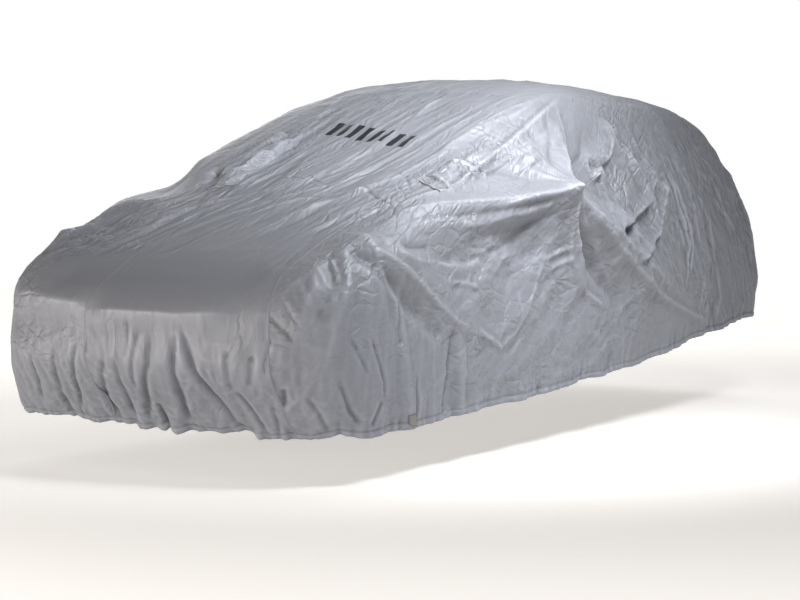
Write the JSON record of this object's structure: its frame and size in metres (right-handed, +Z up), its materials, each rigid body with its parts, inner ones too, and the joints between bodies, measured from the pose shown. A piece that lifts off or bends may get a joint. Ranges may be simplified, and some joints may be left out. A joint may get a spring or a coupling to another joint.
{
  "type": "car cover",
  "caption": "Fitted full cover of silver-coated polyester, draped over a compact hatchback shape, hollow, with mirror pockets and a gathered elastic hem.",
  "frame": {"origin": "the spot on the underside of the centre panel where the car's roof carries the cover, on the car's centre line", "axes": "+Z up; +Y towards the tail of the car, the cover's longest extent; +X towards the car's left side"},
  "size_m": [2.0239, 4.4087, 1.4451],
  "materials": {
    "silver_cloth_centre": "silver-coated polyester taffeta, soft metallic sheen",
    "silver_cloth_side": "silver-coated polyester taffeta, soft metallic sheen",
    "silver_cloth_rear": "silver-coated polyester taffeta, soft metallic sheen",
    "silver_cloth_pocket": "silver-coated polyester taffeta, crumpled",
    "patch_cloth": "matt woven patch"
  },
  "bodies": {
    "root": {"centre_panel": "silver_cloth_centre", "side_panel_left": "silver_cloth_side", "side_panel_right": "silver_cloth_side", "rear_panel_left": "silver_cloth_rear", "rear_panel_right": "silver_cloth_rear", "mirror_pocket_left": "silver_cloth_pocket", "mirror_pocket_right": "silver_cloth_pocket", "hem_patch": "patch_cloth"}
  },
  "joints": []
}
